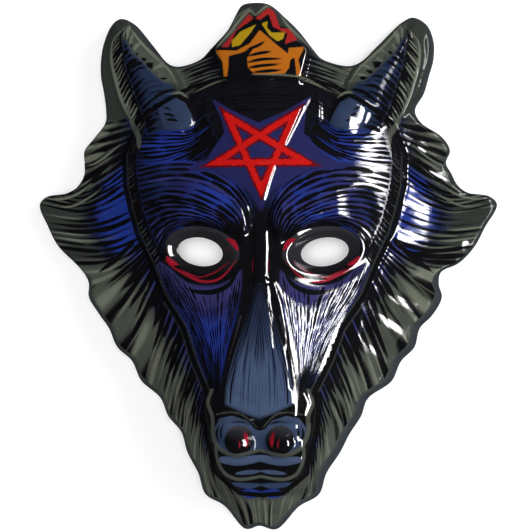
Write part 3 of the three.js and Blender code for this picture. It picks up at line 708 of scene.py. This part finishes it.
for number, area in enumerate(AREAS):
    near, u, v, depth = flow(area["lines"], out, y)
    if area.get("zone"):
        depth = np.minimum(depth + area.get("reach", ZONE_REACH), area["zone"] * in_face[near] + ZONE_EDGE)
    covers = ease(-FEATHER, FEATHER, depth)
    if "over" not in area:
        base[near] = blend(base[near], read_off(area["base"], u), covers)
        light_ink[near] = blend(
            light_ink[near], read_off(area["light_ink"], u), ease(*LIGHT_INK_EDGE, depth))
        for slot in {0, 1, 2} - {area["slot"]}:
            rub_out(slot, near, covers)
    deep = depth > OWN_DEPTH
    own, u, v, fade = np.flatnonzero(near)[deep], u[deep], v[deep], FADE * (1 - covers[deep])
    seed = AREA_SEED * number
    if area["name"] not in MIDDLE_AREAS:
        seed = seed + np.where(x[own] < 0, LEFT_SEED, 0)
    dark = read_off(area["dark"], u) + read_off(area.get("dark_across", [0]), v) - fade
    clump = 2 * np.pi * v * area["rows"] / area.get("clump_rows", CLUMP["rows"])
    clump += CLUMP["bend"] * np.sin(CLUMP["bends"] * v) + CLUMP["drift"] * x[own]
    dark += area.get("clump", CLUMP["fullness"]) * np.sin(clump) * np.sin(np.pi * np.clip(u, 0, 1))
    strokes[area["slot"], own] = np.stack([u * area["runs"], v * area["rows"] + seed, dark], axis=1)
    fine[area["slot"], own] = read_off(area["light"], u) - fade

TORCH = [(-29, 121), (-15, 121), (-18, 125.5), (-7.5, 135), (-4, 138), (-0.5, 135), (4, 142),
         (7.5, 133), (14, 130.5), (15.5, 124), (25.5, 123), (21, 115), (23.5, 104), (-0.5, 105.5),
         (-23, 102), (-23.5, 114)]
CUP = [(-27, 120.5), (-14.5, 120), (-7, 124), (-1.5, 131.5), (7, 124), (14.5, 118), (14.5, 121.5),
       (23.5, 122), (20, 115), (22, 105), (19, 106), (18, 116), (15.5, 115), (15, 110.5), (12.5, 107),
       (-4, 106.5), (-8, 110.5), (-8.5, 116), (-4, 122.5), (-11, 119), (-19, 117), (-19, 111.5),
       (-20, 104), (-21.5, 104), (-22.5, 114)]
LEAVES = [
    [(-17, 122), (-17, 125.5), (-12.5, 130.5), (-7, 133), (-3.5, 134.5), (-6.5, 130), (-12.5, 123)],
    [(-0.5, 135), (3, 136.5), (2.5, 133), (5, 130), (12.5, 130), (11.5, 126.5), (8.5, 125), (4, 128.5)],
]
FLAMES = [
    [(-23, 122), (-17, 129), (-7.5, 140.5), (-5, 138), (-7.5, 136), (-14.5, 131.5), (-19, 122)],
    [(-4, 138), (3.5, 144), (6.5, 142), (10, 132.5), (15, 132), (19.5, 126), (12.5, 123.5),
     (14, 129.5), (6, 133), (3.5, 140.5), (-1.5, 137)],
]
CUP_LINES = [
    ([(-9.5, 120.5), (-3, 122.5), (2, 125.5)], 0.9), ([(-9.5, 116.5), (-1.5, 118.5), (6.5, 119.5)], 0.9),
    ([(-9.5, 113), (-0.5, 115), (12, 115.5)], 0.9), ([(-9.5, 110), (-0.5, 111.5), (12, 112.5)], 0.9),
    ([(-7, 107.5), (3, 108.5), (12, 109)], 0.9),
]
torch = patch(TORCH, x, y)
base = blend(base, BLACK, ease(-2.2, -1, torch))

# The star, red on a violet field that runs down between the brows
UNDER_STAR = [(0, 32), (7, 42), (18, 48), (35, 54), (36, 58), (0, 58)]
STAR_FIELD = [(-24, 90), (-20.6, 74), (-30.5, 59), (-40, 54.5), (46, 54.5), (31, 65.5), (23.6, 74),
              (25, 91), (-1.5, 79.5)]
FIELD_BORDER, RED_BORDER, HAND_CUT = 2.6, 1.1, 0.5
base = blend(base, INDIGO, ease(-3, 2, patch(mirrored(UNDER_STAR), x, y)))
in_star, in_band = star_band(x, y)
star_field = np.maximum(in_star + FIELD_BORDER, patch(STAR_FIELD, x, y))
wavering = np.sin(1.7 * x + np.sin(1.1 * y)) * np.sin(1.9 * y + np.sin(0.9 * x))
star_red = np.minimum(in_star, in_band) + HAND_CUT * wavering

EYE_BOWL = dict(along=-1.5, up=1.2, half_long=21.5, half_tall=13)
# BALL also sets how tall the nostril ball's painted light runs, and WING_SHADE where the wings' painted
# shade runs
BALL = dict(out=11.3, up=-96, tall=14)
WING_EDGE = [(0, -101), (6, -103), (13, -104), (20, -102), (25, -97), (25.5, -90), (22, -84),
             (15, -82.5), (7, -85), (3, -90), (0, -91)]
WING_SHADE = dict(up=-94, tall=20)


def painted_shading(colours, up, tall):
    """Painted shade: colours from the bottom to the top of something this tall, whose middle is at 0, the
    bottom darker and the top lighter as light and shade.
    """
    return read_off(colours, np.clip(up / tall + 0.5, 0, 1))


along, up_eye = eye_axes(out, y)
bowl = np.hypot((along - EYE_BOWL["along"]) / EYE_BOWL["half_long"],
                (up_eye - EYE_BOWL["up"]) / EYE_BOWL["half_tall"])
bowl = (1 - bowl) * EYE_BOWL["half_tall"]
# The eye bowl is grey print, with painted shade that makes it darker at the bottom and lighter at the top
bowl_print_and_painted_shade = painted_shading([ink(28, 26, 30), BOWL, ink(62, 61, 66)], up_eye, 2 * EYE_BOWL["half_tall"])
ball = NOSTRIL["radius"] - np.hypot(out - BALL["out"], y - BALL["up"])
# The nostril balls are printed black, with painted light that turns their tops grey
black_ball_and_painted_light = painted_shading([BLACK, BLACK, ink(66, 66, 70)], y - BALL["up"], BALL["tall"])
# The nostril wings are slate print, with painted shade that makes them darker at the bottom and lighter at
# the top
wing_print_and_painted_shade = painted_shading([STEEL, STEEL, SLATE], y - WING_SHADE["up"], WING_SHADE["tall"])
plate = patch(HORN_PLATE, out, y)

# Drawn lines, each with its half width in the middle. The lips' lines also have how much they taper,
# and a colour
LIPS = [
    ([(21, -107), (12, -107.8), (0, -106)], 2.6, 0.3, SLATE), ([(14, -115), (0, -113.5)], 1.3, 0.7, SLATE),
    ([(17, -120.5), (8, -121.8), (0, -121.3)], 1.6, 0.7, STEEL),
    ([(13, -126), (6, -126.6), (0, -126)], 2.6, 0.8, BLUE),
]
LID_LINES = [
    ([(55.5, 3.5), (50.5, -0.5), (42.5, -5), (34, -8.5), (25.5, -8), (19, -3.5), (13.5, 3.5)], 0.75),
    ([(36, -6.5), (28, -4.5), (21.5, -0.5), (17, 3)], 0.45), ([(46, -1.5), (38, -5.5), (31, -6.5)], 0.4),
    ([(19, 15), (15.5, 13), (12.5, 8.5)], 1.5), ([(54, 5.5), (51.5, 2.5), (47, 0.5)], 1.3),
]
NOSTRIL_SLITS = [([(8.2, -91), (7, -95.5), (7.2, -100)], 1.2), ([(11.5, -95), (10.5, -98), (11, -101)], 0.4)]
BRIDGE_SLITS = [([(4.5, 5), (4.5, -4)], 0.35)]
PALE_LINES = [
    ([(14.5, 132.5), (21, 127), (27, 121)], 0.5),
    ([(51.5, 96), (46.5, 96.8), (41, 93.5)], 0.7), ([(39, 96.5), (27.5, 102), (20, 104)], 0.5),
    (HORN_SPINE[:-1], 0.8), (HORN_BAND, 0.8), ([(128, 38.5), (116, 38), (106, 41), (98, 47)], 0.7),
    ([(124, 35), (112, 33.5), (102, 37.5), (92, 44)], 0.55), ([(103, 66), (95, 67.5), (86, 71)], 0.5),
    ([(104, 56), (96, 58), (88, 63.5), (81, 69)], 0.55),
]
MOSS_LINES = [
    (MUZZLE_LINE, 1.2), (LIP_LINE, 1.0), ([(24, -82), (17, -80.5), (10, -81.5), (5, -85.5), (2, -89)], 0.4),
    ([(75.5, 82), (73, 77), (70.5, 72.5), (70, 67)], 1.5),
]
BLACK_LINES = [
    ([(12, -1), (17, -9.5), (25, -14), (35, -14.5), (44, -12)], 1.5),
    ([(22.5, -87), (24, -93), (21.5, -99)], 0.7), ([(20, -86.5), (21.5, -92), (20, -98)], 0.6),
    ([(5, -88), (10, -85.8), (16, -86.5)], 0.5),
    ([(56.5, 85), (52, 84.5), (48, 83)], 0.8), ([(55, 81.5), (50, 81.5), (46, 80.5)], 0.8),
    ([(57, 89), (53, 87.8), (50, 86.5)], 0.6), ([(64, 92), (56, 97), (48, 99)], 1.1),
    ([(70, 17), (84, 4), (95, -4)], 1.6), ([(84, 63), (93, 53), (104, 43), (118, 36.5)], 1.2),
]
TORCH_LINES = [
    ([(-26, 121.5), (-19, 129.5), (-8, 142), (-4, 139.5)], 0.8), ([(-4, 139.5), (4, 145.6), (9, 142)], 0.8),
    ([(-23, 128), (-13, 140), (-6, 144.5)], 0.5), ([(9, 142), (14, 134), (22, 127)], 0.6),
    ([(-6, 106.5), (12, 106.2), (24, 104.5), (38, 97)], 0.5),
]


def drawn(lines, x, taper=0.7):
    return np.max([brush(line, half, x, y, taper) for line, half in lines], axis=0)


def beside_groove(inward, half, below=math.inf, above=-math.inf):
    """A line this far inside the groove round the face, between two heights."""
    return np.where((y < below) & (y > above), half - np.abs(in_face - inward), NO_SHAPE)


# Each shape is its layer, the depth inside it and its colour. Layer 0 lies under the strokes
SHAPES = [
    (0, bowl, bowl_print_and_painted_shade), (0, star_field, INDIGO), (0, plate, STEEL), (0, patch(CUP, x, y), ORANGE),
    *((0, patch(leaf, x, y), YELLOW) for leaf in LEAVES),
    *((0, patch(flame, x, y), FLAME) for flame in FLAMES),
    *((0, brush(line, half, out, y, taper), colour) for line, half, taper, colour in LIPS),
    (0, patch(mirrored(WING_EDGE), x, y), wing_print_and_painted_shade),
    (1, star_red + RED_BORDER, DARK_RED), (1, ball, black_ball_and_painted_light), (1, drawn(BLACK_LINES, out, 0.95), BLACK),
    (1, drawn(CUP_LINES, x, 0.9), BLACK), (1, beside_groove(-0.2, 1.4), BLACK),
    (1, drawn(BRIDGE_SLITS, out), DARK_RED), (1, drawn(LID_LINES, out, 0.8), LID_RED),
    (2, star_red, RED), (2, drawn(NOSTRIL_SLITS, out, 0.95), LID_RED),
    (2, drawn(PALE_LINES, out, 0.9), PALE), (2, drawn(MOSS_LINES, out, 0.25), MOSS),
    (2, drawn(TORCH_LINES, x), PALE),
    (2, beside_groove(1.8, 0.42, 64, -70), GREY_MOSS), (2, beside_groove(-2.2, 0.42, -20, -70), GREY_MOSS),
]
edges = np.full((count, 3), NO_SHAPE)
inks = np.tile(BLACK, (3, count, 1))
for layer, depth, colour in SHAPES:
    nearer = depth > edges[:, layer]
    edges[nearer, layer] = depth[nearer]
    inks[layer, nearer] = np.broadcast_to(colour, (count, 3))[nearer]
for slot in range(3):
    rub_out(slot, slice(None), ease(-0.8, 0.8, np.maximum(torch, edges[:, 0])))

# The wall is plain. Climb is 0 at its trimmed foot and 1 at its top
WALL_INK, STROKE_FOOT, SHAPE_FOOT = (0.99, 0.8), 0.9, 0.5
wall = ease(*WALL_INK, climb)
base = blend(base, WALL, wall)
base[~on_front] = CHARCOAL
strokes[:, ~on_front | (climb < STROKE_FOOT), 2] = NO_STROKE
fine[:, ~on_front | (climb < STROKE_FOOT)] = NO_STROKE
edges[~on_front | (climb < SHAPE_FOOT)] = NO_SHAPE


def keep(name, values):
    """Stores a value on every vertex for the shader."""
    values = np.asarray(values, float)
    kind, field = ("FLOAT_VECTOR", "vector") if values.ndim == 2 else ("FLOAT", "value")
    shell_mesh.attributes.new(name, kind, "POINT").data.foreach_set(field, values.ravel())


for k in range(3):
    keep(f"strokes_{k}", strokes[k])
    keep(f"ink_{k}", inks[k])
keep("fine", fine.T)
keep("edges", edges)
keep("base", base)
keep("light_ink", light_ink)
# The sheen is less at the rim, where the sheet bends down, and on the horns outside their plates
HORN_FLANK = [(45, 100), (57, 92), (70, 84), (76, 72), (90, 100), (92, 128), (82, 140), (72, 133), (52, 113)]
RIM_DULL, DULL_SHARE, BACK_SHEEN = (3, 1.5), 0.8, 0.6
dull = np.maximum(wall, ease(*RIM_DULL, nearest(top_ring, x, y)[1]))
dull = np.maximum(dull, ease(-1, 1, patch(HORN_FLANK, out, y)) * ease(1, -1, plate))
keep("sheen", np.where(on_front, 1 - DULL_SHARE * dull, BACK_SHEEN))

# The print as a flat picture for the bake: the front large, and the plain back and the cut rim small
# beside it. Sizes are shares of the picture, and shares of it to a millimetre of the sheet
FLAT_MARGIN, BACK_LEFT = 0.01, 0.84
FRONT_SCALE, BACK_SCALE = 0.0031, 0.00058
SHEET_CORNER = (131, 149)
flat = shell_mesh.uv_layers.new(name="OFBake")
ends = np.zeros(len(shell_mesh.loops), int)
shell_mesh.loops.foreach_get("vertex_index", ends)
corners = np.zeros(len(shell_mesh.polygons), int)
shell_mesh.polygons.foreach_get("loop_total", corners)
in_front = np.logical_and.reduceat(on_front[ends], np.cumsum(np.r_[0, corners[:-1]]))
in_front = np.repeat(in_front, corners)
picture = (np.stack([x, y], axis=1) + SHEET_CORNER)[ends]
picture *= np.where(in_front, FRONT_SCALE, BACK_SCALE)[:, None]
picture += np.stack([np.where(in_front, FLAT_MARGIN, BACK_LEFT), np.full(len(ends), FLAT_MARGIN)], axis=1)
flat.data.foreach_set("uv", picture.ravel())


def feed(socket, value):
    """Links the output of a node to a socket or gives it a value. None leaves it as it is."""
    if isinstance(value, bpy.types.NodeSocket):
        tree.links.new(value, socket)
    elif value is not None:
        socket.default_value = value


def put(kind, *values, **settings):
    """A node in the tree that is being made. Its values are numbers or the outputs of other nodes."""
    node = tree.nodes.new(kind)
    for key, value in settings.items():
        setattr(node, key, value)
    for socket, value in zip([s for s in node.inputs if s.enabled], values):
        feed(socket, value)
    return node


def calc(operation, *values):
    return put("ShaderNodeMath", *values, operation=operation).outputs[0]


def step(value, low, high, start=0, end=1):
    node = put("ShaderNodeMapRange", value, low, high, start, end, interpolation_type="SMOOTHSTEP")
    return node.outputs[0]


def over(amount, under, top, **settings):
    node = put("ShaderNodeMix", amount, under, top, data_type="RGBA", **settings)
    return next(s for s in node.outputs if s.enabled)


def attribute(name, output):
    return put("ShaderNodeAttribute", attribute_name=name).outputs[output]


# Tapered brush strokes in rows, each row cut into runs. Fullness goes from none at 0 to solid at 1,
# and Spread is how much it varies from stroke to stroke
ROW_SHIFT, ROW_SWAY, BELLY = 7, 0.3, 0.8
RUN_LUCK, ROW_LUCK = 0.45, 0.55
TAPER, THIN_TAPER = -0.5, -0.08
INK_EDGE = (-0.04, 0.06)
tree = brush_strokes = bpy.data.node_groups.new("brush_strokes", "ShaderNodeTree")
for name in ("Run", "Row", "Fullness", "Seed", "Spread"):
    tree.interface.new_socket(name, in_out="INPUT", socket_type="NodeSocketFloat")
tree.interface.new_socket("Mask", in_out="OUTPUT", socket_type="NodeSocketFloat")
run, row, fullness, seed, spread, _ = put("NodeGroupInput").outputs
cell = calc("FLOOR", row)
across = calc("SUBTRACT", calc("SUBTRACT", row, cell), 0.5)
place = put("ShaderNodeCombineXYZ", cell, seed).outputs[0]
chance = put("ShaderNodeTexWhiteNoise", place, noise_dimensions="2D").outputs[1]
first, second, third = put("ShaderNodeSeparateColor", chance).outputs
run = calc("MULTIPLY_ADD", first, ROW_SHIFT, run)
bit = calc("FLOOR", run)
along = calc("POWER", calc("SUBTRACT", run, bit), BELLY)
place = put("ShaderNodeCombineXYZ", cell, seed, bit).outputs[0]
chance = put("ShaderNodeTexWhiteNoise", place, noise_dimensions="3D").outputs[0]
luck = calc("MULTIPLY_ADD", chance, RUN_LUCK, calc("MULTIPLY_ADD", third, ROW_LUCK, -0.5))
fullness = calc("MULTIPLY_ADD", luck, spread, fullness)
ends = calc("POWER", calc("MULTIPLY_ADD", along, 2, -1), 2)
taper = calc("MULTIPLY_ADD", fullness, TAPER, THIN_TAPER)
half = calc("MULTIPLY_ADD", ends, taper, fullness)
across = calc("MULTIPLY_ADD", calc("SUBTRACT", second, 0.5), ROW_SWAY, across)
put("NodeGroupOutput", step(calc("SUBTRACT", half, calc("ABSOLUTE", across)), *INK_EDGE))

ink_material = bpy.data.materials.new("printed_plastic")
ink_material.use_nodes = True
tree = ink_material.node_tree
gloss = tree.nodes["Principled BSDF"]
here = put("ShaderNodeTexCoord").outputs["Object"]


def noise(detail, roughness, lacunarity=2.0):
    """Noise over the sheet, with its scale left at 5 to the metre. A detail over 15 acts as 15."""
    node = put("ShaderNodeTexNoise", here, None, detail, roughness, lacunarity, noise_dimensions="3D")
    return node.outputs[0]


def strongest(masks):
    return calc("MAXIMUM", calc("MAXIMUM", masks[0], masks[1]), masks[2])


# How far the shake moves the edges of the shapes, in millimetres, and the strokes, in rows
SHAPE_SHAKE = (1.4, 0.7, 2.0)
STROKE_SHAKE = 0.6
SHAPE_SOFT = 0.22
shake = calc("SUBTRACT", noise(detail=240, roughness=2), 0.5)
edge_values = put("ShaderNodeSeparateXYZ", attribute("edges", "Vector")).outputs
fine_values = put("ShaderNodeSeparateXYZ", attribute("fine", "Vector")).outputs
stroke_values = [put("ShaderNodeSeparateXYZ", attribute(f"strokes_{k}", "Vector")).outputs for k in range(3)]


def lay_shapes(k, under):
    edge = calc("MULTIPLY_ADD", shake, SHAPE_SHAKE[k], edge_values[k])
    return over(step(edge, -SHAPE_SOFT, SHAPE_SOFT), under, attribute(f"ink_{k}", "Color"))


def lay_strokes(fullness, seed, shift, runs, spread):
    """The strokes of all three sets. Fullness holds one value for each set."""
    masks = []
    for k, (run, row, _) in enumerate(stroke_values):
        run = calc("MULTIPLY", run, runs)
        row = calc("ADD", calc("MULTIPLY_ADD", shake, STROKE_SHAKE, row), shift)
        group = put("ShaderNodeGroup", run, row, fullness[k], seed + k, spread, node_tree=brush_strokes)
        masks.append(group.outputs[0])
    return strongest(masks)


# From the ground up: the first shapes, the dark strokes, the light strokes, then the other shapes
dark = lay_strokes([values[2] for values in stroke_values], seed=1, shift=0, runs=1, spread=0.55)
light = lay_strokes(fine_values, seed=5, shift=0.5, runs=1.1, spread=0.45)
colour = lay_shapes(0, attribute("base", "Color"))
colour = over(dark, colour, (*BLACK, 1))
colour = over(light, colour, attribute("light_ink", "Color"))
colour = lay_shapes(2, lay_shapes(1, colour))
CLOUD_DARK, CLOUD_LIGHT = 0.7, 1.15
cloud = step(noise(detail=60, roughness=4, lacunarity=0.6), 0.25, 0.75, CLOUD_DARK, CLOUD_LIGHT)
colour = over(1, colour, put("ShaderNodeCombineXYZ", cloud, cloud, cloud).outputs[0], blend_type="MULTIPLY")

# The coat is broken by the dark strokes, and dulled by a finer set of strokes between them
GAP_EXTRA = 0.12
BROKEN_COAT, DULL_COAT = 0.01, 0.1
carved = calc("MULTIPLY", dark, calc("SUBTRACT", 1, light))
gaps = [calc("ADD", value, GAP_EXTRA) for value in fine_values]
gap = lay_strokes(gaps, seed=9, shift=0.25, runs=1.6, spread=0.5)
shine = calc("MULTIPLY", step(carved, 0, 1, 1, BROKEN_COAT), step(gap, 0, 1, 1, DULL_COAT))

# Heights of the bumps, in parts of BUMP_DEPTH, which is in metres
BUMP_DEPTH = 0.0001
CUT, WAVE, RIPPLE = -0.5, 0.9, 0.35
wave = calc("MULTIPLY", noise(detail=150, roughness=0), WAVE)
ripple = noise(detail=480, roughness=1)


def bump(height):
    node = put("ShaderNodeBump", 1, BUMP_DEPTH)
    feed(node.inputs["Height"], height)
    return node.outputs[0]


finish = {
    "Base Color": colour,
    "Roughness": 0.7,
    "Specular IOR Level": 0.01,
    "Normal": bump(calc("MULTIPLY_ADD", carved, CUT, wave)),
    "Coat Weight": calc("MULTIPLY", shine, attribute("sheen", "Fac")),
    "Coat Roughness": 0.06,
    "Coat IOR": 1.55,
    "Coat Normal": bump(calc("MULTIPLY_ADD", ripple, RIPPLE, wave)),
}
for name, value in finish.items():
    feed(gloss.inputs[name], value)
shell_mesh.materials.append(ink_material)


# The white table under the mask and the camera over it, a little to the right. The light is that of
# a studio: one tall window on the right gives the highlights, and two soft suns give none.
TABLE_HALF = 4
table = bmesh.new()
bmesh.ops.create_grid(table, x_segments=1, y_segments=1, size=TABLE_HALF)
table_mesh = bpy.data.meshes.new("table")
table.to_mesh(table_mesh)
table.free()
table_top = bpy.data.objects.new("table", table_mesh)
bpy.context.collection.objects.link(table_top)
table_top.visible_glossy = False
paper = bpy.data.materials.new("white_paper")
paper.use_nodes = True
tree = paper.node_tree
matt = {
    "Base Color": (0.86, 0.86, 0.86, 1),
    "Roughness": 0.9,
    "Emission Color": (1, 1, 1, 1),
    "Emission Strength": 0.3,
}
for name, value in matt.items():
    feed(tree.nodes["Principled BSDF"].inputs[name], value)
table_mesh.materials.append(paper)

PICTURE_MM = 302.7
CAMERA_TILT = math.radians(4)
CAMERA_FAR = 2.2
CAMERA_ASIDE = -0.00125
lens = bpy.data.cameras.new("camera")
lens.sensor_width = 36
lens.lens = lens.sensor_width * CAMERA_FAR / (PICTURE_MM * MM)
camera = bpy.data.objects.new("camera", lens)
camera_x = CAMERA_FAR * math.sin(CAMERA_TILT) + CAMERA_ASIDE
camera.location = (camera_x, 0, CAMERA_FAR * math.cos(CAMERA_TILT))
camera.rotation_euler = (0, CAMERA_TILT, 0)
bpy.context.collection.objects.link(camera)
bpy.context.scene.camera = camera


def lamp(name, kind, aim, far, power, **values):
    """A light that shines on the mask from the direction aim."""
    data = bpy.data.lights.new(name, kind)
    data.energy = power
    for key, value in values.items():
        setattr(data, key, value)
    light = bpy.data.objects.new(name, data)
    way = Vector(aim).normalized()
    light.location = way * far
    light.rotation_euler = way.to_track_quat("Z", "Y").to_euler()
    bpy.context.collection.objects.link(light)
    return light


WINDOW_TURN = math.radians(54)
window = lamp("window", "AREA", (math.sin(WINDOW_TURN), 0, math.cos(WINDOW_TURN)), far=1.2, power=48,
              shape="RECTANGLE", size=1.5, size_y=0.25)
window.visible_diffuse = False
overhead = lamp("overhead", "SUN", (math.tan(CAMERA_TILT), 0, 1), far=2, power=2.3, angle=0.3)
overhead.visible_glossy = False
side_light = lamp("side_light", "SUN", (1, 0.2, 0.7), far=2, power=1.7, angle=0.9)
side_light.visible_glossy = False
world = bpy.data.worlds.new("studio")
bpy.context.scene.world = world
world.use_nodes = True
world.node_tree.nodes["Background"].inputs["Color"].default_value = (0.02, 0.02, 0.022, 1)
bpy.context.scene.view_settings.view_transform = "Standard"
